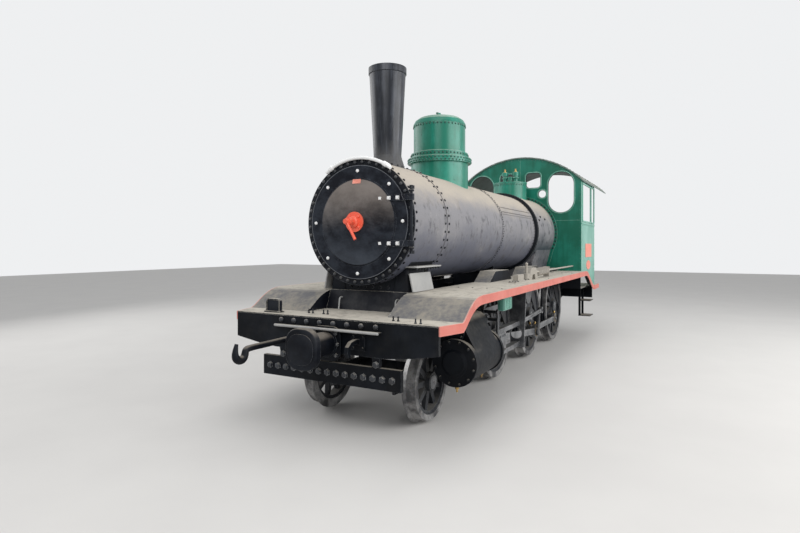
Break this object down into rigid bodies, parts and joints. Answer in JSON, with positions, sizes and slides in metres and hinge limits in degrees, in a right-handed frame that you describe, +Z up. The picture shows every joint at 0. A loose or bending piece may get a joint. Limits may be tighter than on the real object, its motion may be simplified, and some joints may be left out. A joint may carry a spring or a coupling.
{
  "type": "steam locomotive",
  "caption": "Narrow-gauge steam locomotive with a leading axle, six coupled spoked wheels, outside cylinders, tall chimney, dome and open-backed cab.",
  "frame": {"origin": "on the floor under the middle of the overall box, level with the tips of the wheel flanges", "axes": "+X forwards along the track, +Y to the locomotive's left, +Z up"},
  "size_m": [9.075, 2.254, 3.42],
  "materials": {
    "frame_black": "worn black paint with dust",
    "boiler_dusty": "dark grey sheet with heavy beige dust",
    "smokebox_black": "near-black paint, satin",
    "body_green": "green gloss paint",
    "strip_red": "salmon-red paint",
    "handle_red": "orange-red paint",
    "board_dusty": "dusty grey-beige paint",
    "bright_steel": "oiled machined steel",
    "tyre_steel": "worn steel",
    "rail_white": "off-white paint",
    "brass_fittings": "dull brass and iron",
    "roof_grey": "dusty green-grey paint"
  },
  "bodies": {
    "locomotive": {"ashpan": "frame_black", "axleboxes": "frame_black", "backhead_fittings": "brass_fittings", "board_brackets": "frame_black", "boiler_bands": "boiler_dusty", "boiler_barrel": "boiler_dusty", "brake_gear": "frame_black", "buffer_beam": "frame_black", "cab_floor": "frame_black", "cab_front": "body_green", "cab_front_angle": "body_green", "cab_roof": "roof_grey", "cab_side_left": "body_green", "cab_side_right": "body_green", "cab_steps": "frame_black", "centre_buffer": "frame_black", "chimney": "smokebox_black", "coupling_hook_left": "bright_steel", "coupling_hook_right": "frame_black", "cylinder_left": "frame_black", "cylinder_right": "frame_black", "dome": "body_green", "door_hinge_post": "smokebox_black", "drag_beam": "frame_black", "edge_strips": "strip_red", "firebox_wrapper": "boiler_dusty", "frame_plates": "frame_black", "frame_stretchers": "frame_black", "front_deck": "board_dusty", "guard_beam": "frame_black", "running_board_left": "board_dusty", "running_board_right": "board_dusty", "safety_valves": "body_green", "slide_bars": "bright_steel", "smokebox_front": "smokebox_black", "smokebox_handrail": "rail_white", "smokebox_saddle": "smokebox_black", "smokebox_shell": "boiler_dusty", "splashers": "board_dusty", "steam_pipe_covers": "board_dusty", "valve_gear": "bright_steel"},
    "smokebox_door": {"smokebox_door": "smokebox_black", "door_handle": "handle_red"},
    "pony_truck": {"pony_frame": "frame_black"},
    "leading_wheelset": {"leading_wheels": "frame_black", "leading_tyres": "tyre_steel"},
    "driver_1": {"driver_1_wheels": "frame_black", "driver_1_tyres": "tyre_steel"},
    "driver_2": {"driver_2_wheels": "frame_black", "driver_2_tyres": "tyre_steel"},
    "driver_3": {"driver_3_wheels": "frame_black", "driver_3_tyres": "tyre_steel"},
    "coupling_rod_left": {"coupling_rod_left": "bright_steel"},
    "coupling_rod_right": {"coupling_rod_right": "bright_steel"},
    "connecting_rod_left": {"connecting_rod_left": "bright_steel"},
    "connecting_rod_right": {"connecting_rod_right": "bright_steel"},
    "crosshead_left": {"crosshead_left": "bright_steel"},
    "crosshead_right": {"crosshead_right": "bright_steel"},
    "eccentric_rod_left": {"eccentric_rod_left": "bright_steel"},
    "eccentric_rod_right": {"eccentric_rod_right": "bright_steel"}
  },
  "joints": [
    {"name": "smokebox_door_hinge", "type": "hinge", "parent": "locomotive", "child": "smokebox_door", "pos_m": [3.3525, 0.573, 1.848], "axis": [0, 0, 1], "range_deg": [0, 110]},
    {"name": "pony_truck_swing", "type": "hinge", "parent": "locomotive", "child": "pony_truck", "pos_m": [1.8925, 0, 0.5], "axis": [0, 0, 1], "range_deg": [-3, 3]},
    {"name": "leading_axle", "type": "hinge", "parent": "pony_truck", "child": "leading_wheelset", "pos_m": [3.0025, 0, 0.378], "axis": [0, 1, 0], "continuous": true},
    {"name": "driver_1_axle", "type": "hinge", "parent": "locomotive", "child": "driver_1", "pos_m": [1.1425, 0, 0.603], "axis": [0, 1, 0], "continuous": true},
    {"name": "driver_2_axle", "type": "hinge", "parent": "locomotive", "child": "driver_2", "pos_m": [-0.3775, 0, 0.603], "axis": [0, 1, 0], "continuous": true},
    {"name": "driver_3_axle", "type": "hinge", "parent": "locomotive", "child": "driver_3", "pos_m": [-1.8975, 0, 0.603], "axis": [0, 1, 0], "continuous": true},
    {"name": "coupling_rod_left_pin", "type": "hinge", "parent": "driver_2", "child": "coupling_rod_left", "pos_m": [-0.18658, 0.652, 0.41208], "axis": [0, 1, 0], "continuous": true},
    {"name": "connecting_rod_left_pin", "type": "hinge", "parent": "driver_2", "child": "connecting_rod_left", "pos_m": [-0.18658, 0.724, 0.41208], "axis": [0, 1, 0], "continuous": true},
    {"name": "eccentric_rod_left_pin", "type": "hinge", "parent": "driver_2", "child": "eccentric_rod_left", "pos_m": [-0.27143, 0.796, 0.70907], "axis": [0, 1, 0], "continuous": true},
    {"name": "crosshead_left_slide", "type": "slide", "parent": "locomotive", "child": "crosshead_left", "axis": [1, 0, 0], "range_m": [-0.4524, 0.0876]},
    {"name": "coupling_rod_right_pin", "type": "hinge", "parent": "driver_2", "child": "coupling_rod_right", "pos_m": [-0.18658, -0.652, 0.79392], "axis": [0, 1, 0], "continuous": true},
    {"name": "connecting_rod_right_pin", "type": "hinge", "parent": "driver_2", "child": "connecting_rod_right", "pos_m": [-0.18658, -0.724, 0.79392], "axis": [0, 1, 0], "continuous": true},
    {"name": "eccentric_rod_right_pin", "type": "hinge", "parent": "driver_2", "child": "eccentric_rod_right", "pos_m": [-0.48357, -0.796, 0.70907], "axis": [0, 1, 0], "continuous": true},
    {"name": "crosshead_right_slide", "type": "slide", "parent": "locomotive", "child": "crosshead_right", "axis": [1, 0, 0], "range_m": [-0.4524, 0.0876]}
  ],
  "couplings": [
    {"joint": "driver_1_axle", "follows": "driver_2_axle", "ratio": 1},
    {"joint": "driver_3_axle", "follows": "driver_2_axle", "ratio": 1},
    {"joint": "coupling_rod_left_pin", "follows": "driver_2_axle", "ratio": -1},
    {"joint": "connecting_rod_left_pin", "follows": "driver_2_axle", "ratio": -1},
    {"joint": "eccentric_rod_left_pin", "follows": "driver_2_axle", "ratio": -1},
    {"joint": "coupling_rod_right_pin", "follows": "driver_2_axle", "ratio": -1},
    {"joint": "connecting_rod_right_pin", "follows": "driver_2_axle", "ratio": -1},
    {"joint": "eccentric_rod_right_pin", "follows": "driver_2_axle", "ratio": -1}
  ]
}
